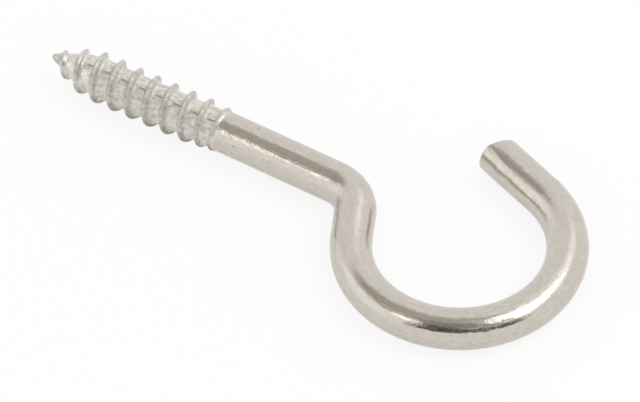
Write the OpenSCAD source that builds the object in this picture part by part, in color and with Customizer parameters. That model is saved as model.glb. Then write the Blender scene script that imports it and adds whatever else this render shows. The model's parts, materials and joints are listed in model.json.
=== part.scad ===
// Screw hook: one length of round wire with a rolled wood-screw thread and a
// gimlet point at one end, a short plain shank, a neck bend and an open round
// hook whose straight tail ends in a sheared cut.
//
// The wire's middle plane is z = 0, so the hook lies flat. The origin is on the
// shank's axis where the thread ends, which is the face of the wood it is driven
// into. The point lies towards -X, the hook towards +X, its mouth towards +Y.

/* [Wire] */
// Diameter of the wire
wire_d = 5; // [3:0.1:7]

/* [Shank] */
// Length of the plain straight shank, from the thread to the neck
shank_l = 15.6; // [8:0.2:60]

/* [Thread] */
// Length of the threaded end, from its tip to the plain shank
thread_l = 23; // [16:0.2:50]
// Distance from one turn to the next
pitch = 2.4; // [1.8:0.1:3.4]
// How far the crests stand out from the plain shank
crest_rise = 0.5; // [0.3:0.02:0.9]
// How far the roots lie below the plain shank
root_sink = 0.22; // [0.1:0.02:0.5]
// Width of the crests' tops
crest_w = 0.25; // [0.1:0.05:0.4]
// Lean of each flank from square to the axis
flank_angle = 33; // [15:1:35]
// Length of the tapered gimlet point
point_l = 6.8; // [4:0.2:12]
// Radius left at the very tip
tip_r = 0.15; // [0.1:0.05:0.4]
// Length over which the last turn fades into the shank
runout_l = 2.4; // [1.5:0.1:5]
// Direction in which the first turn starts, from +Y towards +Z
start_turn = 120; // [0:15:345]
// How far the thread bows off the shank's axis, away from the hook's mouth
thread_bow = 0.3; // [0:0.05:0.5]

/* [Neck] */
// Inside radius of the neck bend
neck_inner_r = 2.5; // [1:0.1:4]
// Length of the straight slanted run from the neck to the round hook
slant_l = 3.9; // [0.5:0.1:15]

/* [Hook] */
// Inside diameter of the round hook
hook_inner_d = 20.2; // [16:0.2:60]
// How far the hook's centre lies below the shank's axis
hook_offset = 1.05; // [-2:0.05:3]
// Where the round part stops, counted from +X round towards +Y
hook_stop = 71; // [30:1:110]

/* [Tail] */
// Length of the straight tail after the round part
tail_l = 8.5; // [3:0.1:12]
// Slope of the sheared half of the wire's end
shear_angle = 23; // [5:1:45]
// Direction that the sheared half faces, from outward round towards +Z
shear_turn = 35; // [-180:5:180]
// How far the shear's edge lies past the wire's axis, or short of it if negative
shear_past = -0.2; // [-1:0.05:1]
// Size of the chamfer round the wire's end
end_chamfer = 0.3; // [0.1:0.05:0.8]

/* [Hidden] */
$fn = 96;

wire_r = wire_d / 2;
crest_r = wire_r + crest_rise;
root_r = wire_r - root_sink;

// The thread's section: a flat root, a flank, a slightly rounded crest, a flank
crest_shoulder = 0.94;
flank_w = (crest_r - root_r) * tan(flank_angle);
root_w = pitch - crest_w - 2 * flank_w;
section = [
    [0, 0],
    [root_w, 0],
    [root_w + flank_w, crest_shoulder],
    [root_w + flank_w + crest_w / 2, 1],
    [root_w + flank_w + crest_w, crest_shoulder],
];

// The threaded end is a strip one pitch wide, wound round the axis. It carries
// on inside the shank as a smooth spigot a hair smaller than the wire.
sides = 24;
spigot_gap = 0.03;
spigot_r = wire_r - spigot_gap;
spigot_lead = 0.3;
bow_l = thread_l * 2 / 3;
turns = ceil((thread_l + spigot_lead) / pitch);
knots = len(section);
rows = knots * turns;

// Bending stretches the wire, so a bend is a hair thinner than the straight
// lengths. Its ends reach a little way into them, and they run out inside it
// as short blunt noses.
bend_thinning = 0.01;
bend_lap = 0.1;
nose_l = 0.3;
nose_drop = 0.1;

// The neck turns the wire through the one angle at which the slanted run leaves
// the neck and meets the round hook without a kink
neck_r = neck_inner_r + wire_r;
hook_r = hook_inner_d / 2 + wire_r;
bends_r = neck_r + hook_r;
centres_gap = norm([bends_r, slant_l]);
neck_angle = acos((neck_r - hook_offset) / centres_gap) - atan(slant_l / bends_r);
hook_x = shank_l + bends_r * sin(neck_angle) + slant_l * cos(neck_angle);
hook_start = -90 - neck_angle;

// Quarter-sine rise from 0 to 1, level outside that
function rise(t) = t <= 0 ? 0 : t >= 1 ? 1 : sin(90 * t);

// Radius at a place x along the axis, where h is 0 at the root and 1 at the crest.
// Towards the tip the crests taper later than the roots.
function ridge(from_tip) = min(1, max(0, 2 * from_tip / pitch));
function full_radius(from_tip, h) = root_r + h * (crest_r - root_r) * ridge(from_tip);
function taper(from_tip, h) = pow(rise(from_tip / point_l), 1 - 0.2 * h);
function pointed_radius(from_tip, h) =
    tip_r + taper(from_tip, h) * (full_radius(from_tip, h) - tip_r);
function radius_at(x, h) =
    spigot_r + rise((-spigot_lead - x) / runout_l) * (pointed_radius(x + thread_l, h) - spigot_r);

// How far the middle of the thread lies off the shank's axis at a place x
function bow(x) = -thread_bow * rise(-x / bow_l);

// Corner of the strip: row j counts along the section, step i round the axis
function along(j, i) =
    -thread_l + pitch * (floor(j / knots) + i / sides) + section[j % knots][0];
function corner(j, i) =
    let (x = along(j, i), a = start_turn + 360 * i / sides, r = radius_at(x, section[j % knots][1]))
    [x, r * cos(a) + bow(x), r * sin(a)];

// The first column also serves as the far edge of the last one, one turn on
function index(j, i) =
    i == sides ? j + knots : i == 0 ? j : rows + knots + 1 + (i - 1) * (rows + 1) + j;

module threaded_end() {
    first_column = [for (j = [0 : rows + knots]) corner(j, 0)];
    other_columns = [for (i = [1 : sides - 1], j = [0 : rows]) corner(j, i)];
    tip = [-thread_l, bow(-thread_l), 0];
    root = [along(rows + knots, 0), 0, 0];
    points = concat(first_column, other_columns, [tip, root]);
    tip_index = len(points) - 2;
    root_index = len(points) - 1;
    skin = [
        for (i = [0 : sides - 1], j = [0 : rows - 1])
            let (a = index(j, i), b = index(j + 1, i), c = index(j + 1, i + 1), d = index(j, i + 1))
            each [[a, b, c], [a, c, d]]
    ];
    tip_fan = [for (i = [0 : sides - 1]) [tip_index, index(0, i), index(0, i + 1)]];
    tip_step = [for (k = [0 : knots - 1]) [tip_index, index(k + 1, 0), index(k, 0)]];
    root_fan = [for (i = [0 : sides - 1]) [root_index, index(rows, i + 1), index(rows, i)]];
    root_step = [for (k = [0 : knots - 1]) [root_index, index(rows + k, 0), index(rows + k + 1, 0)]];
    polyhedron(points, concat(skin, tip_fan, tip_step, root_fan, root_step));
}

// A straight length of the wire from the origin along +X, with a nose before it
// and a nose or a chamfer after it
module straight(l, end_l = nose_l, end_drop = nose_drop) {
    rotate([0, 90, 0])
        rotate_extrude()
            polygon([
                [0, -nose_l],
                [wire_r - nose_drop, -nose_l],
                [wire_r, 0],
                [wire_r, l],
                [wire_r - end_drop, l + end_l],
                [0, l + end_l],
            ]);
}

module plain_shank() {
    straight(shank_l);
}

// A bend of the wire in the z = 0 plane about the origin
module bend(r, from, sweep) {
    lap_angle = bend_lap / r * 180 / PI;
    rotate([0, 0, from - lap_angle])
        rotate_extrude(angle = sweep + 2 * lap_angle)
            translate([r, 0]) circle(r = wire_r - bend_thinning);
}

module neck() {
    translate([shank_l, -neck_r, 0]) bend(neck_r, 90 - neck_angle, neck_angle);
}

module slant() {
    translate([shank_l, -neck_r, 0])
        rotate([0, 0, -neck_angle])
            translate([0, neck_r, 0]) straight(slant_l);
}

module round_hook() {
    translate([hook_x, -hook_offset, 0]) bend(hook_r, hook_start, hook_stop - hook_start);
}

// Here the wire runs along +X, with the outside of the hook towards -Y
module tail() {
    block = 2 * wire_d;
    translate([hook_x, -hook_offset, 0])
        rotate([0, 0, hook_stop])
            translate([hook_r, 0, 0])
                rotate([0, 0, 90])
                    difference() {
                        straight(tail_l - end_chamfer, end_chamfer, end_chamfer);
                        translate([tail_l, 0, 0])
                            rotate([-shear_turn, 0, 0])
                                translate([0, shear_past, 0])
                                    rotate([0, 0, -shear_angle])
                                        translate([0, -block / 2, -block / 2]) cube(block);
                    }
}

module screw_hook() {
    color("silver") {
        threaded_end();
        plain_shank();
        neck();
        slant();
        round_hook();
        tail();
    }
}

screw_hook();
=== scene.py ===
"""Screw hook: one length of nickel-plated steel wire, threaded at one end, bent into a neck and an
open round hook, and sheared off at the other end. It lies on a plain white table in a light tent."""

import json
import math

import bmesh
import bpy
from bpy.props import FloatProperty, FloatVectorProperty, IntProperty, PointerProperty
from mathutils import Matrix, Vector, noise


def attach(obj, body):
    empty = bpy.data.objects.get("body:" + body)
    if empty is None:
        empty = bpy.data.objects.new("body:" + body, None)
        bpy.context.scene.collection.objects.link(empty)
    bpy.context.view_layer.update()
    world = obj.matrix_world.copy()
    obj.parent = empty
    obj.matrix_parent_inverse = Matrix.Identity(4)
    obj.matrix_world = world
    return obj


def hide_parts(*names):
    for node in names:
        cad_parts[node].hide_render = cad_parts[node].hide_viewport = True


bl_info = {
    "name": "Screw Hook",
    "version": (1, 0, 0),
    "blender": (4, 5, 0),
    "location": "3D View > Sidebar > Screw Hook",
    "description": "Builds a plated wire screw hook and the table and lights round it",
    "category": "Add Mesh",
}

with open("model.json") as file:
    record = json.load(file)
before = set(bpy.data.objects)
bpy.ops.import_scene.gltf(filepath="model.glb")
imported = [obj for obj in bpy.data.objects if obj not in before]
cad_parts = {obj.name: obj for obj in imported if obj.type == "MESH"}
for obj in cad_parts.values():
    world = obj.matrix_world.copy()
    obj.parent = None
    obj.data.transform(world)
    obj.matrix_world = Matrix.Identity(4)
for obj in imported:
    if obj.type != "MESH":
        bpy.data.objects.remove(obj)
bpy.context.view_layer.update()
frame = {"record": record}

MM = 0.001
NODE = "screw_hook"
MOUNTS = {mount["name"]: mount for mount in frame["record"]["mounts"]}
THREAD = MOUNTS["screw_thread"]
SEAT = MOUNTS["hook_seat"]

# Points this close together are one point
WELD = 0.002 * MM
# Power by which the crests taper less than the roots, which makes them taper later
CREST_FULLNESS = 0.2
# Length behind the tip over which the roots come down from the crests' taper to their own
TIP_BULGE = 1.6 * MM
# How far past its end the thread still fades, and the length over which its trace on the shank
# dies away
EDGE_W = 0.7 * MM
# The thread bows off the shank's axis over its length divided by this
BOW_RATE = 1.5
# Where the last turns start to close up, before the thread's end, and the length over which they
# do so, both in pitches
CLOSING_START = 1.45
CLOSING_RUN = 1.9
# Size of the rounding at a flank's foot, as a share of the flank's width
FOOT_SHARE = 0.16
# Parts into which the flat root is divided
ROOT_PARTS = 5
# Turns wound beyond the thread's length, and how many of them lie before the tip
SPARE_TURNS = 4
LEAD_TURNS = 2
# Last length of the tail, drawn in one step so that no ring lies near the cut
END_RUN = 3 * MM
# Points on the end's rim this close together are merged before it is rounded
RIM_WELD = 0.05 * MM
# A face with more corners than this is one that closes the wire's end
SIDES_OF_A_PATCH = 8
ROUNDING_SEGMENTS = 4
# Length of a slight hollow along the wire and across it
HOLLOW_L = 3.2 * MM
HOLLOW_W = 1.7 * MM
# Edges sharper than this are creased, in degrees
CREASE = 50


# ---------------------------------------------------------------- settings


def length(name, description, default):
    """A property that holds a length in metres."""
    return FloatProperty(
        name=name, description=description, default=default, precision=5, unit="LENGTH",
    )


def angle(name, description, degrees):
    """A property that holds an angle, given here in degrees."""
    return FloatProperty(
        name=name, description=description, default=math.radians(degrees),
        subtype="ANGLE", unit="ROTATION",
    )


def colour(name, description, default):
    """A property that holds a linear colour."""
    return FloatVectorProperty(
        name=name, description=description, default=default, size=3, min=0, max=1, subtype="COLOR",
    )


def share(name, description, default):
    """A property that holds a plain number from 0 to 1."""
    return FloatProperty(
        name=name, description=description, default=default, min=0, max=1, subtype="FACTOR",
    )


class HookSizes(bpy.types.PropertyGroup):
    """Sizes of the screw hook. Those that its frame states come from the frame."""

    wire_d: length("Wire", "Diameter of the plain wire", SEAT["dims"]["length_mm"] * MM)
    hook_inner_r: length("Hook radius", "Inside radius of the round hook", SEAT["dims"]["r_mm"] * MM)
    seat_x: length("Seat", "Where a load hangs, along the shank's axis", SEAT["pos_m"][0])
    seat_y: length("Seat offset", "Where a load hangs, square to the axis", SEAT["pos_m"][1])
    thread_l: length("Thread", "Length up to the plain shank", THREAD["dims"]["length_mm"] * MM)
    crest_r: length("Crests", "Radius over the thread's crests", THREAD["dims"]["r_mm"] * MM)
    pitch: length("Pitch", "Distance from one turn to the next", 2.4 * MM)
    root_sink: length("Root", "How far the roots lie below the plain wire", 0.22 * MM)
    crest_w: length("Crest width", "Width of the crests' tops", 0.25 * MM)
    flank: angle("Flank", "Lean of each flank from square to the axis", 33)
    point_l: length("Point", "Length of the tapered gimlet point", 6.8 * MM)
    tip_r: length("Tip", "Radius left at the very tip", 0.15 * MM)
    runout_l: length("Run-out", "Length over which the last turn fades", 2.4 * MM)
    runout_slant: length("Run-out slant", "How much sooner the last turn fades on the low side", 1.3 * MM)
    last_turn: share("Last turn", "What stays of the last turn right up to its end", 0.3)
    trace_l: length("Trace", "How far the last turn's trace reaches on to the shank", 0.8 * MM)
    low_side: angle("Low side", "Direction of the thread's low side, from +Y towards +Z", 217)
    first_turn: angle("First turn", "Direction in which the first turn starts", 120)
    thread_bow: length("Bow", "How far the thread bows off the shank's axis", 0.3 * MM)
    neck_inner_r: length("Neck radius", "Inside radius of the neck bend", 2.5 * MM)
    slant_l: length("Slant", "Length of the straight run from the neck to the round hook", 3.9 * MM)
    hook_stop: angle("Hook's end", "Where the round part stops, from +X round towards +Y", 71)
    tail_l: length("Tail", "Length of the straight tail", 8.5 * MM)
    shear: angle("Shear", "Slope of the sheared half of the wire's end", 23)
    shear_turn: angle("Shear turn", "Direction that the sheared half faces, from outward towards +Z", 35)
    shear_past: length("Shear edge", "How far the shear's edge lies past the wire's axis", -0.2 * MM)
    end_round: length("End rounding", "Size of the rounding round the wire's end", 0.26 * MM)
    undersize: length("Undersize", "How far the plain wire lies under its nominal surface", 0.015 * MM)
    unevenness: length("Unevenness", "Depth of the wire's slight hollows", 0.012 * MM)
    sides: IntProperty(name="Sides", description="Faces round the wire", default=96, min=24)
    step: length("Step", "Distance between rings along the wire", 0.3 * MM)


class HookFinish(bpy.types.PropertyGroup):
    """Colours and gloss of the plating."""

    bright: colour("Bright plating", "Colour of clean nickel plating", (0.68, 0.635, 0.568))
    dull: colour("Dull plating", "Colour of the plating in streaks and pits", (0.40, 0.37, 0.335))
    root: colour("Roots", "Colour of the plating in the thread's roots", (0.79, 0.75, 0.695))
    crest: colour("Crests", "Colour of the plating on the thread's crests", (0.66, 0.65, 0.60))
    wire_gloss: share("Wire roughness", "Roughness of the drawn wire", 0.16)
    thread_gloss: share("Thread roughness", "Roughness of the rolled thread", 0.58)
    shear_gloss: share("Cut roughness", "Roughness of the sheared end", 0.34)
    # Direction of the short dark dashes between the thread's crests, from +Y towards +Z
    seam_side: angle("Seam", "Direction of the thread's faint rolling seam, from +Y towards +Z", 113)


class HookStudio(bpy.types.PropertyGroup):
    """Camera and lights."""

    look_x: length("Look at X", "Where on the hook's middle plane the camera looks", 15.66 * MM)
    look_y: length("Look at Y", "Where on the hook's middle plane the camera looks", -3.41 * MM)
    azimuth: angle("Azimuth", "Camera's turn round the hook, 0 looks along +Y", 31.56)
    elevation: angle("Elevation", "Camera's height above the horizon", 48.72)
    roll: angle("Roll", "Camera's turn about its own axis", -0.21)
    distance: length("Distance", "From the camera to the hook", 2.0047)
    view_width: length("View width", "Width of the picture where the camera looks", 74.55 * MM)
    tent_level: share("Tent level", "Strength of the white tent's light on matt surfaces", 0.8)


def settings(context):
    """The three groups of settings, as the panel shows them."""
    scene = context.scene
    return scene.screw_hook_sizes, scene.screw_hook_finish, scene.screw_hook_studio


# ---------------------------------------------------------------- shape


def is_vert(item):
    """Whether a piece of a bmesh is a point."""
    return isinstance(item, bmesh.types.BMVert)


def is_edge(item):
    """Whether a piece of a bmesh is an edge."""
    return isinstance(item, bmesh.types.BMEdge)


def rise(t):
    """Quarter-sine rise from 0 to 1, level outside that."""
    return math.sin(math.pi / 2 * min(1, max(0, t)))


def ease(t):
    """Smooth step from 0 to 1, level outside that."""
    t = min(1, max(0, t))
    return t * t * (3 - 2 * t)


def thread_radius(sizes, x, height, low):
    """Radius at x along the axis. Height is 0 at the root and 1 at the crest, and low is 1 on the
    side where the last turn fades first."""
    wire_r = sizes.wire_d / 2
    from_tip = x + sizes.thread_l
    if from_tip <= 0:
        return 0
    root_r = wire_r - sizes.root_sink
    full = root_r + height * (sizes.crest_r - root_r) * min(1, 2 * from_tip / sizes.pitch)
    blunt = min(1, from_tip / sizes.tip_r)
    tip_r = sizes.tip_r * math.sqrt(1 - (1 - blunt) ** 2)
    fullness = CREST_FULLNESS * max(height, ease(1 - from_tip / TIP_BULGE))
    pointed = tip_r + rise(from_tip / sizes.point_l) ** (1 - fullness) * (full - tip_r)
    left = rise((EDGE_W - x - sizes.runout_slant * low) / sizes.runout_l)
    trace = max(left, sizes.last_turn) * ease((sizes.trace_l - x) / EDGE_W)
    return wire_r + trace * (pointed - wire_r)


def thread_bow(sizes, x):
    """How far the thread's middle lies off the shank's axis at x, along Y."""
    return -sizes.thread_bow * rise(-x * BOW_RATE / sizes.thread_l)


def closed_up(sizes, x, low):
    """Moves the last turns back along the axis on their low side, where they close up."""
    past = min(1, max(0, x + CLOSING_START * sizes.pitch) / (CLOSING_RUN * sizes.pitch))
    return x - low * past ** 2 * sizes.pitch / 2


def rib_outline(sizes):
    """One pitch of the thread as (place, height): root, flank with rounded foot, rounded crest."""
    depth = sizes.crest_r - sizes.wire_d / 2 + sizes.root_sink
    flank_w = depth * math.tan(sizes.flank)
    root_w = sizes.pitch - sizes.crest_w - 2 * flank_w
    foot = FOOT_SHARE * flank_w
    rising = [
        (root_w - foot, 0.0),
        (root_w + 0.35 * foot, 0.03),
        (root_w + 1.6 * foot, 0.14),
        (root_w + 0.5 * flank_w, 0.47),
        (root_w + flank_w - 1.1 * foot, 0.80),
        (root_w + flank_w - 0.1 * foot, 0.92),
        (root_w + flank_w + 0.25 * sizes.crest_w, 0.985),
    ]
    middle = root_w + flank_w + sizes.crest_w / 2
    falling = [(2 * middle - x, height) for x, height in reversed(rising)]
    flat = [(root_w * i / ROOT_PARTS, 0.0) for i in range(1, ROOT_PARTS)]
    return flat + rising + [(middle, 1.0)] + falling


def wind_thread(bm, sizes):
    """Winds one rib outline round the axis, a pitch further each turn, and gives it its point and
    run-out. What lies past the tip gathers in the tip, and what lies past the thread in its end."""
    turns = math.ceil(sizes.thread_l / sizes.pitch) + SPARE_TURNS
    start = -sizes.thread_l - LEAD_TURNS * sizes.pitch
    heights = bm.verts.layers.float.new("height")
    line = []
    for turn in range(turns):
        for x, height in rib_outline(sizes):
            vert = bm.verts.new((start + turn * sizes.pitch + x, sizes.crest_r, 0))
            vert[heights] = height
            line.append(vert)
    edges = [bm.edges.new(pair) for pair in zip(line, line[1:])]
    step = Vector((sizes.pitch / sizes.sides, 0, 0))
    bmesh.ops.spin(
        bm, geom=line + edges, cent=(0, 0, 0), axis=(1, 0, 0), dvec=step,
        angle=math.tau, steps=sizes.sides, use_merge=False,
    )
    bmesh.ops.remove_doubles(bm, verts=bm.verts[:], dist=WELD)
    bmesh.ops.rotate(
        bm, verts=bm.verts[:], cent=(0, 0, 0), matrix=Matrix.Rotation(sizes.first_turn, 3, "X")
    )
    low_y, low_z = math.cos(sizes.low_side), math.sin(sizes.low_side)
    for vert in bm.verts:
        across = vert.co.yz.normalized()
        low = 0.5 + 0.5 * (across.x * low_y + across.y * low_z)
        x = min(sizes.trace_l, max(closed_up(sizes, vert.co.x, low), -sizes.thread_l))
        across *= thread_radius(sizes, x, vert[heights], low)
        vert.co = (x, across.x + thread_bow(sizes, x), across.y)
    bmesh.ops.remove_doubles(bm, verts=bm.verts[:], dist=WELD)


def open_edges(bm):
    """The edges that only one face has."""
    return [edge for edge in bm.edges if len(edge.link_faces) == 1]


def grow(bm, ring, move, run):
    """Extrudes the wire's open end, moves it by a matrix and notes how much wire that took."""
    drawn = bm.verts.layers.float_vector["drawn"]
    made = bmesh.ops.extrude_edge_only(bm, edges=ring)["geom"]
    verts = [item for item in made if is_vert(item)]
    bmesh.ops.transform(bm, matrix=move, verts=verts)
    for vert in verts:
        vert[drawn] = vert[drawn] + Vector((run, 0, 0))
    fresh = set(verts)
    return [item for item in made if is_edge(item) and fresh.issuperset(item.verts)]


def grow_straight(bm, ring, heading, run, step):
    """Carries the wire on in a straight line."""
    steps = max(1, round(run / step))
    ahead = Vector((math.cos(heading), math.sin(heading), 0)) * (run / steps)
    for _ in range(steps):
        ring = grow(bm, ring, Matrix.Translation(ahead), run / steps)
    return ring


def grow_bend(bm, ring, centre, radius, turn, step):
    """Carries the wire on round a centre, by an angle that is positive anticlockwise."""
    run = radius * abs(turn)
    steps = max(1, round(run / step))
    there = Matrix.Translation(centre)
    move = there @ Matrix.Rotation(turn / steps, 4, "Z") @ there.inverted()
    for _ in range(steps):
        ring = grow(bm, ring, move, run / steps)
    return ring


def end_faces(bm):
    """The many-sided faces that close the wire's end."""
    return [face for face in bm.faces if len(face.verts) > SIDES_OF_A_PATCH]


def shear_end(bm, sizes, end, heading):
    """Closes the tail, cuts half of it off on a slope, and rounds the edges of both faces."""
    bmesh.ops.holes_fill(bm, edges=open_edges(bm))
    slope = Matrix.Rotation(-sizes.shear_turn, 4, "X")
    slope @= Matrix.Translation((0, sizes.shear_past, 0)) @ Matrix.Rotation(-sizes.shear, 4, "Z")
    place = Matrix.Translation(end) @ Matrix.Rotation(heading, 4, "Z") @ slope
    normal = (place.to_3x3() @ Vector((1, 0, 0))).normalized()
    near = {vert for vert in bm.verts if (vert.co - end).length < 2 * sizes.wire_d}
    edges = [edge for edge in bm.edges if near.issuperset(edge.verts)]
    faces = [face for face in bm.faces if near.issuperset(face.verts)]
    cut = bmesh.ops.bisect_plane(
        bm, geom=list(near) + edges + faces, dist=WELD,
        plane_co=place.translation, plane_no=normal, clear_outer=True,
    )["geom_cut"]
    cut_faces = bmesh.ops.holes_fill(bm, edges=[item for item in cut if is_edge(item)])["faces"]
    for face in cut_faces:
        face.material_index = 1
    corners = {vert for face in end_faces(bm) for vert in face.verts}
    bmesh.ops.remove_doubles(bm, verts=list(corners), dist=RIM_WELD)
    rim = {edge for face in end_faces(bm) for edge in face.edges}
    bmesh.ops.bevel(
        bm, geom=list(rim), offset=sizes.end_round, offset_type="OFFSET",
        segments=ROUNDING_SEGMENTS, profile=0.5, affect="EDGES", material=-1, clamp_overlap=True,
    )


def soften(bm, sizes):
    """Sinks the surface by a few microns, with slow hollows that are longer along the wire."""
    drawn = bm.verts.layers.float_vector["drawn"]
    rolled = bm.verts.layers.float["rolled"]
    bm.normal_update()
    for vert in bm.verts:
        place = vert[drawn]
        spot = Vector((place.x / HOLLOW_L, place.y / HOLLOW_W, place.z / HOLLOW_W))
        hollow = 0.5 - 0.5 * noise.noise(spot)
        depth = sizes.unevenness * hollow + sizes.undersize * (1 - vert[rolled])
        vert.co -= vert.normal * depth


def screw_hook_mesh(sizes):
    """Makes the whole hook as one closed mesh: thread, shank, neck, slant, round hook and tail."""
    wire_r = sizes.wire_d / 2
    neck_r = sizes.neck_inner_r + wire_r
    hook_r = sizes.hook_inner_r + wire_r
    bends_r = neck_r + hook_r
    gap = math.hypot(bends_r, sizes.slant_l)
    neck_angle = math.acos((neck_r + sizes.seat_y) / gap) - math.atan(sizes.slant_l / bends_r)
    hook_centre = Vector((sizes.seat_x - sizes.hook_inner_r, sizes.seat_y, 0))
    across = bends_r * math.sin(neck_angle) + sizes.slant_l * math.cos(neck_angle)
    shank_l = hook_centre.x - across
    neck_centre = Vector((shank_l, -neck_r, 0))
    hook_turn = math.pi / 2 + neck_angle + sizes.hook_stop
    heading = sizes.hook_stop + math.pi / 2

    bm = bmesh.new()
    wind_thread(bm, sizes)
    drawn = bm.verts.layers.float_vector.new("drawn")
    rolled = bm.verts.layers.float.new("rolled")
    for vert in bm.verts:
        vert[drawn] = vert.co
        vert[rolled] = ease((sizes.trace_l - vert.co.x) / sizes.trace_l)
    ring = open_edges(bm)
    ring = grow_straight(bm, ring, 0, shank_l - sizes.trace_l, sizes.step)
    ring = grow_bend(bm, ring, neck_centre, neck_r, -neck_angle, sizes.step)
    ring = grow_straight(bm, ring, -neck_angle, sizes.slant_l, sizes.step)
    ring = grow_bend(bm, ring, hook_centre, hook_r, hook_turn, sizes.step)
    ring = grow_straight(bm, ring, heading, sizes.tail_l - END_RUN, sizes.step)
    ring = grow_straight(bm, ring, heading, END_RUN, END_RUN)
    out = Vector((math.cos(sizes.hook_stop), math.sin(sizes.hook_stop), 0))
    ahead = Vector((math.cos(heading), math.sin(heading), 0))
    end = hook_centre + out * hook_r + ahead * sizes.tail_l
    shear_end(bm, sizes, end, heading)
    bmesh.ops.recalc_face_normals(bm, faces=bm.faces[:])
    soften(bm, sizes)
    for face in bm.faces:
        face.smooth = True
    for edge in bm.edges:
        if len(edge.link_faces) == 2 and edge.calc_face_angle() > math.radians(CREASE):
            edge.smooth = False
    mesh = bpy.data.meshes.new("screw_hook")
    bm.to_mesh(mesh)
    bm.free()
    return mesh


# ---------------------------------------------------------------- materials

# Fineness of each kind of mark in turns per millimetre, along the wire and across it
LINES_FINENESS = (0.4, 3.2, 3.2)
BROAD_FINENESS = (0.15, 1.1, 1.1)
MOTTLE_FINENESS = (1.3, 2.3, 2.3)
GRAIN_FINENESS = (3.6, 4.4, 4.4)
PITS_FINENESS = (0.62, 0.8, 0.8)
# Cells that draw less than this hold no pit, and the largest pit, in cells
PIT_CHANCE = 0.72
PIT_SIZE = 0.17
# Strength of each kind of mark on the plain wire and on the rolled thread
LINES = 0.4
WIRE_MARKS = {"Mottle": (0.4, 1.1), "Grain": (0.55, 1.3), "Pits": (0.8, 0.3)}
CUT_MARKS = {"Lines": 0.0, "Mottle": 1.0, "Grain": 2.5, "Pits": 0.0}
# Depth of the marks on the plain wire, on the rolled thread and on the sheared end
WIRE_DEPTH = 0.046 * MM
THREAD_DEPTH = 0.034 * MM
CUT_DEPTH = 0.03 * MM
# How much of the marks' noise goes into the roughness
ROUGHENING = 0.25
# Share of the dull colour on the wire, and what each place on the thread adds to it
WIRE_DULLNESS = 0.31
ROLLED_DULLNESS = -0.14
# Painted shade on the crests of the thread's low side
PAINTED_CREST_SHADE = 0.75
DASH_DULLNESS = 1.0
TIP_DULLNESS = 0.25
CUT_DULLNESS = 0.45
# Heights on a rib between which the roots' colour turns into the crests'
CREST_FROM = 0.05
CREST_TO = 0.75
# How far from the tip its own colour ends, and how far it is full
TIP_COLOUR_END = 2 * MM
TIP_COLOUR_FULL = 1.1 * MM
# The tip is smoother than the thread: between which distances that ends, and what it starts as
SATIN_FROM = 5 * MM
SATIN_TO = 9 * MM
SATIN_SHARE = 0.45
# Closeness to the low side at which the painted shade on the crests starts, as a cosine
PAINTED_SHADE_FROM = 0.7
# A dash's half width where it ends and where it is full, in millimetres
DASH_EDGE = (0.17, 0.05)
# Where a dash starts and is full, and where it ends, as shares of a pitch past a crest
DASH_START = (0.32, 0.5)
DASH_END = (0.86, 0.76)
# How far inside the point the dashes start and are full
DASH_FADE = (3 * MM, 1.5 * MM)
MATT_WHITE = (0.96, 0.96, 0.96, 1)
WHITE = (1, 1, 1, 1)


def node(tree, kind, inputs=(), **facts):
    """Adds a shader node. Each input is a plain value or another node's output."""
    made = tree.nodes.new("ShaderNode" + kind)
    for name, value in facts.items():
        setattr(made, name, value)
    for name, value in dict(inputs).items():
        if isinstance(value, bpy.types.NodeSocket):
            tree.links.new(value, made.inputs[name])
        else:
            made.inputs[name].default_value = value
    return made


def calculate(tree, operation, *values):
    """One sum on plain values or other nodes' outputs."""
    return node(tree, "Math", dict(enumerate(values)), operation=operation).outputs[0]


def ramp(tree, value, low, high, from_level=0.0, to_level=1.0):
    """Smooth change between two levels as a value goes from low to high."""
    facts = {0: value, 1: low, 2: high, 3: from_level, 4: to_level}
    return node(tree, "MapRange", facts, interpolation_type="SMOOTHSTEP").outputs[0]


def weighted(tree, total, *parts):
    """Adds to a total some values, each times its weight."""
    for value, weight in parts:
        total = calculate(tree, "MULTIPLY_ADD", value, weight, total)
    return total


def blend(tree, factor, first, second):
    """Mixes two colours, each a plain colour or another node's output."""
    mixed = node(tree, "Mix", {"Factor": factor, "A": first, "B": second}, data_type="RGBA")
    return mixed.outputs["Result"]


def spread_out(tree, place, fineness):
    """A place in turns of a pattern, whose fineness is in turns per millimetre for each axis."""
    scale = [part / MM for part in fineness]
    return node(tree, "Mapping", {"Vector": place, "Scale": scale}).outputs[0]


def level_noise(tree, place, fineness, strength):
    """Noise about zero, of a fineness in turns per millimetre for each axis."""
    spread = spread_out(tree, place, fineness)
    cloud = node(tree, "TexNoise", {"Vector": spread, "Scale": 1.0, "Detail": 3.0})
    level = calculate(tree, "SUBTRACT", cloud.outputs["Fac"], 0.5)
    return calculate(tree, "MULTIPLY", level, strength)


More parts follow.
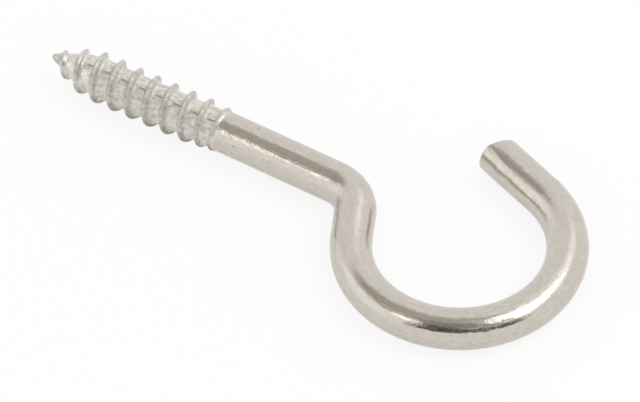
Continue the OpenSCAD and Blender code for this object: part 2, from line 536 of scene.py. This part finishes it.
def plating_group():
    """Node group for plated wire: lines drawn along it, mottling, fine grain and sparse pits."""
    group = bpy.data.node_groups.new("plating_marks", "ShaderNodeTree")
    for name in ("Lines", "Mottle", "Grain", "Pits"):
        socket = group.interface.new_socket(name, in_out="INPUT", socket_type="NodeSocketFloat")
        socket.default_value = 0.5
    for name in ("Dullness", "Roughening", "Height"):
        group.interface.new_socket(name, in_out="OUTPUT", socket_type="NodeSocketFloat")
    share_of = group.nodes.new("NodeGroupInput").outputs
    drawn = node(group, "Attribute", attribute_name="drawn").outputs["Vector"]

    lines = level_noise(group, drawn, LINES_FINENESS, share_of["Lines"])
    broad = level_noise(group, drawn, BROAD_FINENESS, share_of["Lines"])
    mottle = level_noise(group, drawn, MOTTLE_FINENESS, share_of["Mottle"])
    grain = level_noise(group, drawn, GRAIN_FINENESS, share_of["Grain"])
    even = spread_out(group, drawn, PITS_FINENESS)
    cells = node(group, "TexVoronoi", {"Vector": even, "Scale": 1.0})
    lot = node(group, "SeparateColor", {0: cells.outputs["Color"]}).outputs[0]
    size = ramp(group, lot, PIT_CHANCE, 1.0, 0.0, PIT_SIZE)
    depth = calculate(group, "SUBTRACT", size, cells.outputs["Distance"])
    pits = calculate(group, "MULTIPLY", ramp(group, depth, -0.03, 0.06), share_of["Pits"])

    dull = weighted(group, pits, (lines, 0.8), (mottle, 1.6), (grain, 0.5))
    rough = calculate(group, "ADD", mottle, grain)
    height = weighted(group, lines, (broad, 2.0), (mottle, 1.2), (grain, 0.5), (pits, -0.8))
    leave = group.nodes.new("NodeGroupOutput")
    for name, value in (("Dullness", dull), ("Roughening", rough), ("Height", height)):
        group.links.new(value, leave.inputs[name])
    return group


def finish_plating(tree, tones, marks, extra_dull, gloss, extra_rough, depth):
    """Turns the marks into colour, gloss and relief on a metal. Tones are the bright and the dull
    colour, each a plain colour or another node's output."""
    dull = calculate(tree, "ADD", marks["Dullness"], extra_dull)
    tone = blend(tree, dull, *tones)
    rough = calculate(tree, "MULTIPLY_ADD", marks["Roughening"], ROUGHENING, gloss)
    rough = calculate(tree, "ADD", rough, extra_rough)
    height = calculate(tree, "MULTIPLY", marks["Height"], depth)
    relief = node(tree, "Bump", {"Height": height, "Strength": 1.0, "Distance": 1.0})
    facts = {"Base Color": tone, "Metallic": 1.0, "Roughness": rough, "Normal": relief.outputs[0]}
    shader = node(tree, "BsdfPrincipled", facts)
    node(tree, "OutputMaterial", {"Surface": shader.outputs[0]})


def blank_material(name):
    """A material whose nodes are still to be made."""
    material = bpy.data.materials.new(name)
    material.use_nodes = True
    material.node_tree.nodes.clear()
    return material


def root_dashes(tree, sizes, finish, around, rolled):
    """Short dark dashes on one side of the thread, each up to the next crest."""
    dash_y, dash_z = math.cos(finish.seam_side), math.sin(finish.seam_side)
    off = calculate(tree, "MULTIPLY", around["Y"], dash_z / MM)
    off = calculate(tree, "MULTIPLY_ADD", around["Z"], -dash_y / MM, off)
    front = calculate(tree, "MULTIPLY", around["Y"], dash_y)
    front = calculate(tree, "MULTIPLY_ADD", around["Z"], dash_z, front)
    outline = rib_outline(sizes)
    crest_x = max(outline, key=lambda corner: corner[1])[0] - sizes.thread_l
    crest_x += sizes.pitch * (finish.seam_side - sizes.first_turn) / math.tau
    turns = calculate(tree, "MULTIPLY_ADD", around["X"], 1 / sizes.pitch, -crest_x / sizes.pitch)
    past_crest = calculate(tree, "FRACT", turns)
    point_end = sizes.point_l - sizes.thread_l
    fade = [point_end - inside for inside in DASH_FADE]
    parts = (
        ramp(tree, calculate(tree, "ABSOLUTE", off), *DASH_EDGE),
        calculate(tree, "GREATER_THAN", front, 0.0),
        ramp(tree, past_crest, *DASH_START),
        ramp(tree, past_crest, *DASH_END),
        ramp(tree, around["X"], *fade),
    )
    mark = rolled
    for part in parts:
        mark = calculate(tree, "MULTIPLY", mark, part)
    return mark


def painted_shade_side(tree, sizes, drawn):
    """Rises from 0 to 1 towards the thread's low side, where the crests get painted shade."""
    across = node(tree, "VectorMath", {0: drawn, 1: (0, 1, 1)}, operation="MULTIPLY").outputs[0]
    out = node(tree, "VectorMath", {0: across}, operation="NORMALIZE").outputs[0]
    low_side = (0, math.cos(sizes.low_side), math.sin(sizes.low_side))
    lean = node(tree, "VectorMath", {0: out, 1: low_side}, operation="DOT_PRODUCT").outputs["Value"]
    return ramp(tree, lean, PAINTED_SHADE_FROM, 1.0)


def wire_material(group, sizes, finish):
    """The drawn wire, which gets rougher and speckled where the thread is rolled into it."""
    material = blank_material("plated_wire")
    tree = material.node_tree
    rolled = node(tree, "Attribute", attribute_name="rolled").outputs["Fac"]
    rib = node(tree, "Attribute", attribute_name="height").outputs["Fac"]
    shares = {name: ramp(tree, rolled, 0.0, 1.0, *ends) for name, ends in WIRE_MARKS.items()}
    marks = node(tree, "Group", {"Lines": LINES, **shares}, node_tree=group)
    drawn = node(tree, "Attribute", attribute_name="drawn").outputs["Vector"]
    around = node(tree, "SeparateXYZ", {0: drawn}).outputs
    dashes = root_dashes(tree, sizes, finish, around, rolled)
    tip_x = -sizes.thread_l
    blunt = ramp(tree, around["X"], tip_x + TIP_COLOUR_END, tip_x + TIP_COLOUR_FULL)
    crest = calculate(tree, "MULTIPLY", ramp(tree, rib, CREST_FROM, CREST_TO), rolled)
    neutral = calculate(tree, "MAXIMUM", crest, blunt)
    bright = blend(tree, rolled, (*finish.bright, 1), (*finish.root, 1))
    bright = blend(tree, neutral, bright, (*finish.crest, 1))
    # Painted shade: the crests darken towards the thread's low side
    painted_crest_shade = calculate(tree, "MULTIPLY", painted_shade_side(tree, sizes, drawn), crest)
    dull = weighted(
        tree, WIRE_DULLNESS, (rolled, ROLLED_DULLNESS), (painted_crest_shade, PAINTED_CREST_SHADE),
        (dashes, DASH_DULLNESS), (blunt, TIP_DULLNESS),
    )
    satin = ramp(tree, around["X"], tip_x + SATIN_FROM, tip_x + SATIN_TO, SATIN_SHARE, 1.0)
    gloss = calculate(tree, "MULTIPLY", rolled, finish.thread_gloss - finish.wire_gloss)
    gloss = calculate(tree, "MULTIPLY", gloss, satin)
    tones = (bright, (*finish.dull, 1))
    depth = ramp(tree, rolled, 0.0, 1.0, WIRE_DEPTH, THREAD_DEPTH)
    finish_plating(tree, tones, marks.outputs, dull, finish.wire_gloss, gloss, depth)
    return material


def cut_material(group, finish):
    """The sheared end, dull and torn."""
    material = blank_material("sheared_end")
    tree = material.node_tree
    marks = node(tree, "Group", CUT_MARKS, node_tree=group)
    tones = (*finish.bright, 1), (*finish.dull, 1)
    finish_plating(tree, tones, marks.outputs, CUT_DULLNESS, finish.shear_gloss, 0.0, CUT_DEPTH)
    return material


def white_surface(name, level, mirrored_level):
    """A matt white surface that the camera and the metal see as white, each with a share of its
    shadows: the higher the level, the fainter they are."""
    material = blank_material(name)
    tree = material.node_tree
    rays = node(tree, "LightPath").outputs
    seen = calculate(tree, "MULTIPLY", rays["Is Camera Ray"], level)
    mirrored = calculate(tree, "MAXIMUM", rays["Is Glossy Ray"], rays["Is Transmission Ray"])
    part = calculate(tree, "MULTIPLY_ADD", mirrored, mirrored_level, seen)
    matt = node(tree, "BsdfDiffuse", {"Color": MATT_WHITE})
    glow = node(tree, "Emission", {"Color": WHITE, "Strength": 1.0})
    both = node(tree, "MixShader", {0: part, 1: matt.outputs[0], 2: glow.outputs[0]})
    node(tree, "OutputMaterial", {"Surface": both.outputs[0]})
    return material


def card_surface(name, tint, softness, is_round):
    """A card of one even colour that fades out towards its edges."""
    material = blank_material(name)
    tree = material.node_tree
    place = node(tree, "TexCoord").outputs["Object"]
    if is_round:
        reach = [node(tree, "VectorMath", {0: place}, operation="LENGTH").outputs["Value"]]
    else:
        sides = node(tree, "VectorMath", {0: place}, operation="ABSOLUTE").outputs["Vector"]
        reach = node(tree, "SeparateXYZ", {0: sides}).outputs[:2]
    cover = 1.0
    for part in reach:
        cover = calculate(tree, "MULTIPLY", ramp(tree, part, 1.0, 1.0 - softness), cover)
    clear = node(tree, "BsdfTransparent")
    glow = node(tree, "Emission", {"Color": (*tint, 1), "Strength": 1.0})
    both = node(tree, "MixShader", {0: cover, 1: clear.outputs[0], 2: glow.outputs[0]})
    node(tree, "OutputMaterial", {"Surface": both.outputs[0]})
    return material


def panel_surface(name, level):
    """An evenly glowing white surface."""
    material = blank_material(name)
    tree = material.node_tree
    glow = node(tree, "Emission", {"Color": WHITE, "Strength": level})
    node(tree, "OutputMaterial", {"Surface": glow.outputs[0]})
    return material


# ---------------------------------------------------------------- stage

# Cards that only the metal mirrors. Each has a name, the azimuth and elevation at which it stands,
# its distance, its half width and half height as angles from the hook, its tint, the share of it
# over which its edges fade, and whether it is round. Angles are in degrees.
CARDS = (
    ("front_card", -52.5, 35.8, 1.1, (45.5, 8.6), (0.05, 0.038, 0.026), 0.27, False),
    ("corner_card", -78, 47, 1.15, (18, 13), (0.12, 0.11, 0.08), 0.6, True),
    ("ceiling_card", -55, 64, 1.2, (38, 18), (0.35, 0.335, 0.295), 0.4, False),
    ("edge_card", -168, 53, 1.25, (22, 11), (0.43, 0.41, 0.375), 0.9, True),
    ("overhead_card", -150, 69, 1.3, (31, 31), (0.54, 0.52, 0.48), 0.35, True),
    ("pale_card", 80, 48, 1.4, (20, 20), (1.4, 1.38, 1.4), 0.8, True),
    ("low_card", -142, 20, 1.35, (48, 28), (1.2, 1.2, 1.2), 0.8, True),
    ("far_card", 150, 32, 1.5, (38, 34), (0.96, 0.955, 0.95), 0.5, True),
    ("zenith_card", 60, 82, 1.35, (14, 14), (0.54, 0.52, 0.48), 0.6, True),
)
# Azimuth and elevation of each corner of the softbox as the metal mirrors it, in degrees
KEY_CORNERS = (40, 76.5), (67, 44), (60, 42.5), (27.5, 42.5), (4, 42), (-8, 52), (-24, 63)
# How white the table stays in its shadows, as the camera and as the metal see it
TABLE_LEVEL = 0.85
MIRRORED_LEVEL = 0.55
# Half the table's side, and how many pitches before the shank a crest touches it
TABLE_REACH = 3
RESTING_CREST = 1.5
SENSOR_W = 36
CLIP = 0.1, 10


def direction(azimuth, elevation):
    """Unit vector from the hook, with the azimuth from +X towards +Y. Both are in degrees."""
    a, e = math.radians(azimuth), math.radians(elevation)
    return Vector((math.cos(e) * math.cos(a), math.cos(e) * math.sin(a), math.sin(e)))


def facing(target, out, distance, roll=0):
    """Matrix of something that stands off a target and faces it with its -Z side."""
    turn = out.to_track_quat("Z", "Y").to_matrix().to_4x4()
    turn = turn @ Matrix.Rotation(math.radians(roll), 4, "Z")
    return Matrix.Translation(target + out * distance) @ turn


def only_mirrored(item):
    """Hides an item from everything but reflections."""
    for ray in ("camera", "diffuse", "shadow", "transmission", "volume_scatter"):
        setattr(item, "visible_" + ray, False)


def new_object(name, bm, material):
    """Makes an object of one material from a finished bmesh."""
    mesh = bpy.data.meshes.new(name)
    bm.to_mesh(mesh)
    bm.free()
    mesh.materials.append(material)
    made = bpy.data.objects.new(name, mesh)
    bpy.context.collection.objects.link(made)
    return made


def add_card(target, name, azimuth, elevation, distance, spread, tint, softness, is_round):
    """A soft-edged card that only reflections see. Its spread is its half width and half height,
    as angles from the hook."""
    bm = bmesh.new()
    bmesh.ops.create_grid(bm, x_segments=1, y_segments=1, size=1)
    card = new_object(name, bm, card_surface(name, tint, softness, is_round))
    half_w, half_h = (distance * math.tan(math.radians(half)) for half in spread)
    stand = facing(target, direction(azimuth, elevation), distance)
    card.matrix_world = stand @ Matrix.Diagonal((half_w, half_h, 1, 1))
    only_mirrored(card)


def add_panel(target, name, corners, distance, level):
    """The softbox as the metal mirrors it: a bright panel with corners in the given directions."""
    bm = bmesh.new()
    bm.faces.new([bm.verts.new(direction(*corner) * distance) for corner in corners])
    panel = new_object(name, bm, panel_surface(name, level))
    panel.location = target
    only_mirrored(panel)


def add_softbox(target, name, azimuth, elevation, distance, width, height, roll, radiance):
    """A rectangular area light of the given brightness, facing the hook."""
    light = bpy.data.lights.new(name, "AREA")
    light.shape = "RECTANGLE"
    light.size = width
    light.size_y = height
    light.energy = radiance * math.pi * width * height
    box = bpy.data.objects.new(name, light)
    box.matrix_world = facing(target, direction(azimuth, elevation), distance, roll)
    box.visible_camera = False
    bpy.context.collection.objects.link(box)
    return box


def white_world(level):
    """A white tent: white where it is seen or mirrored, and a little softer as a light."""
    world = bpy.data.worlds.new("tent")
    world.use_nodes = True
    tree = world.node_tree
    tree.nodes.clear()
    rays = node(tree, "LightPath").outputs
    seen = calculate(tree, "MAXIMUM", rays["Is Camera Ray"], rays["Is Glossy Ray"])
    seen = calculate(tree, "MAXIMUM", seen, rays["Is Transmission Ray"])
    strength = node(tree, "Mix", {"Factor": seen, "A": level, "B": 1.0}, data_type="FLOAT")
    back = node(tree, "Background", {"Color": WHITE, "Strength": strength.outputs["Result"]})
    node(tree, "OutputWorld", {"Surface": back.outputs[0]})
    return world


def table_plane(sizes):
    """A point and a tilt of the table that touches a crest near the shank and the round hook."""
    crest_x = -RESTING_CREST * sizes.pitch
    loop_x = sizes.seat_x + sizes.wire_d / 2
    lift = sizes.crest_r - sizes.wire_d / 2
    return Vector((crest_x, 0, -sizes.crest_r)), math.atan2(lift, loop_x - crest_x)


def add_table(sizes, material):
    """A wide flat table under the hook."""
    point, tilt = table_plane(sizes)
    bm = bmesh.new()
    bmesh.ops.create_grid(bm, x_segments=1, y_segments=1, size=TABLE_REACH)
    bmesh.ops.rotate(bm, verts=bm.verts[:], cent=(0, 0, 0), matrix=Matrix.Rotation(-tilt, 3, "Y"))
    bmesh.ops.translate(bm, verts=bm.verts[:], vec=point)
    table = new_object("table", bm, material)


def add_camera(studio):
    """A long-lens camera that looks down on the hook."""
    camera = bpy.data.cameras.new("camera")
    camera.sensor_width = SENSOR_W
    camera.lens = camera.sensor_width * studio.distance / studio.view_width
    camera.clip_start, camera.clip_end = CLIP
    look_at = Vector((studio.look_x, studio.look_y, 0))
    back = direction(math.degrees(studio.azimuth) - 90, math.degrees(studio.elevation))
    stand = facing(look_at, back, studio.distance)
    eye = bpy.data.objects.new("camera", camera)
    eye.matrix_world = stand @ Matrix.Rotation(studio.roll, 4, "Z")
    bpy.context.collection.objects.link(eye)
    bpy.context.scene.camera = eye


# ---------------------------------------------------------------- operators and panel


class SCREWHOOK_OT_hook(bpy.types.Operator):
    """Build the screw hook, with its thread, bends and sheared end"""

    bl_idname = "screw_hook.hook"
    bl_label = "Build Screw Hook"
    bl_options = {"REGISTER", "UNDO"}

    def execute(self, context):
        sizes, finish, _ = settings(context)
        mesh = screw_hook_mesh(sizes)
        group = plating_group()
        mesh.materials.append(wire_material(group, sizes, finish))
        mesh.materials.append(cut_material(group, finish))
        hook = bpy.data.objects.new("hook_wire", mesh)
        context.collection.objects.link(hook)
        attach(hook, "root")
        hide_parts(NODE)
        return {"FINISHED"}


class SCREWHOOK_OT_stage(bpy.types.Operator):
    """Set up the table, the light tent and the camera"""

    bl_idname = "screw_hook.stage"
    bl_label = "Set Up Table, Lights and Camera"
    bl_options = {"REGISTER", "UNDO"}

    def execute(self, context):
        sizes, _, studio = settings(context)
        scene = context.scene
        scene.view_settings.view_transform = "Standard"
        scene.world = white_world(studio.tent_level)
        add_table(sizes, white_surface("white_table", TABLE_LEVEL, MIRRORED_LEVEL))
        middle = Vector((studio.look_x, studio.look_y, 0))
        key = add_softbox(
            middle, "key_softbox", azimuth=27, elevation=55, distance=0.9,
            width=0.55, height=0.55, roll=45, radiance=2.0,
        )
        key.visible_glossy = False
        add_panel(middle, "key_panel", KEY_CORNERS, distance=1.0, level=2.7)
        add_softbox(
            middle, "side_light", azimuth=-108.5, elevation=48.5, distance=0.9,
            width=0.25, height=0.26, roll=0, radiance=1.5,
        )
        for card in CARDS:
            add_card(middle, *card)
        add_camera(studio)
        return {"FINISHED"}


class SCREWHOOK_PT_panel(bpy.types.Panel):
    """Lists the builders and their settings"""

    bl_idname = "SCREWHOOK_PT_panel"
    bl_label = "Screw Hook"
    bl_space_type = "VIEW_3D"
    bl_region_type = "UI"
    bl_category = "Screw Hook"

    def draw(self, context):
        layout = self.layout
        for group in settings(context):
            box = layout.box()
            for name in group.__annotations__:
                box.prop(group, name)
        for builder in BUILDERS:
            layout.operator(builder.bl_idname)


GROUPS = {
    "screw_hook_sizes": HookSizes,
    "screw_hook_finish": HookFinish,
    "screw_hook_studio": HookStudio,
}
BUILDERS = (SCREWHOOK_OT_hook, SCREWHOOK_OT_stage)
CLASSES = (*GROUPS.values(), *BUILDERS, SCREWHOOK_PT_panel)


def register():
    """Registers the classes and puts the settings on the scene."""
    for cls in CLASSES:
        bpy.utils.register_class(cls)
    for name, group in GROUPS.items():
        setattr(bpy.types.Scene, name, PointerProperty(type=group))


def unregister():
    """Takes the settings and the classes away again."""
    for name in GROUPS:
        delattr(bpy.types.Scene, name)
    for cls in reversed(CLASSES):
        bpy.utils.unregister_class(cls)


def main():
    """Registers the add-on and builds everything."""
    register()
    bpy.ops.screw_hook.hook()
    bpy.ops.screw_hook.stage()


if __name__ == "__main__":
    main()
